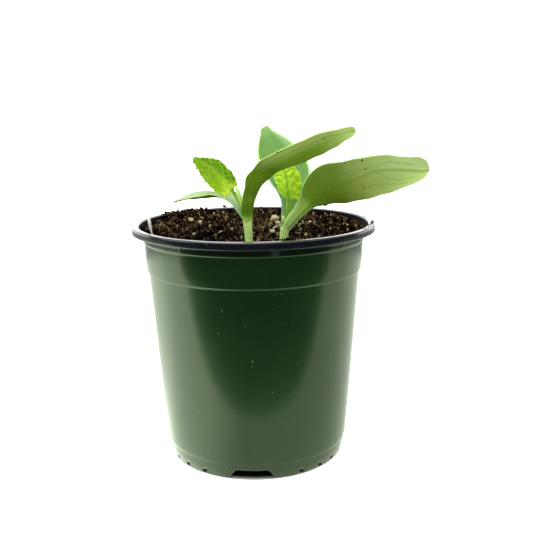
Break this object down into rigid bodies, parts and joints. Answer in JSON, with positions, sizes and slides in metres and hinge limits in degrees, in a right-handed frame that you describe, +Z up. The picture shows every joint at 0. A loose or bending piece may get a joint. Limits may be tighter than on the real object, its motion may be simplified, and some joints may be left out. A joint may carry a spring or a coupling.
{
  "type": "potted zucchini plant",
  "caption": "Thin-walled round nursery pot with a rolled lip, filled with potting mix, holding young zucchini seedlings with paddle-shaped seed leaves and toothed true leaves.",
  "frame": {"origin": "centre of the pad in the middle of the pot's underside, on the surface the pot stands on", "axes": "+Z up along the pot's axis, +X towards the tip of the longest seed leaf, -Y towards the front, where a heel notch is"},
  "size_m": [0.1946, 0.165, 0.2257],
  "materials": {
    "pot_plastic": "satin",
    "potting_mix": "matte",
    "label_plastic": "satin",
    "stem": "satin",
    "cotyledon": "satin",
    "true_leaf": "matte"
  },
  "bodies": {
    "root": {"pot": "pot_plastic", "potting_mix": "potting_mix", "plant_label": "label_plastic", "left_stem": "stem", "left_true_leaf": "true_leaf", "left_shoot_bud": "true_leaf", "left_cotyledon_right": "cotyledon", "left_cotyledon_left": "cotyledon", "right_stem": "stem", "right_true_leaf": "true_leaf", "right_shoot_bud": "true_leaf", "right_cotyledon_right": "cotyledon", "right_cotyledon_back": "cotyledon"}
  },
  "joints": []
}
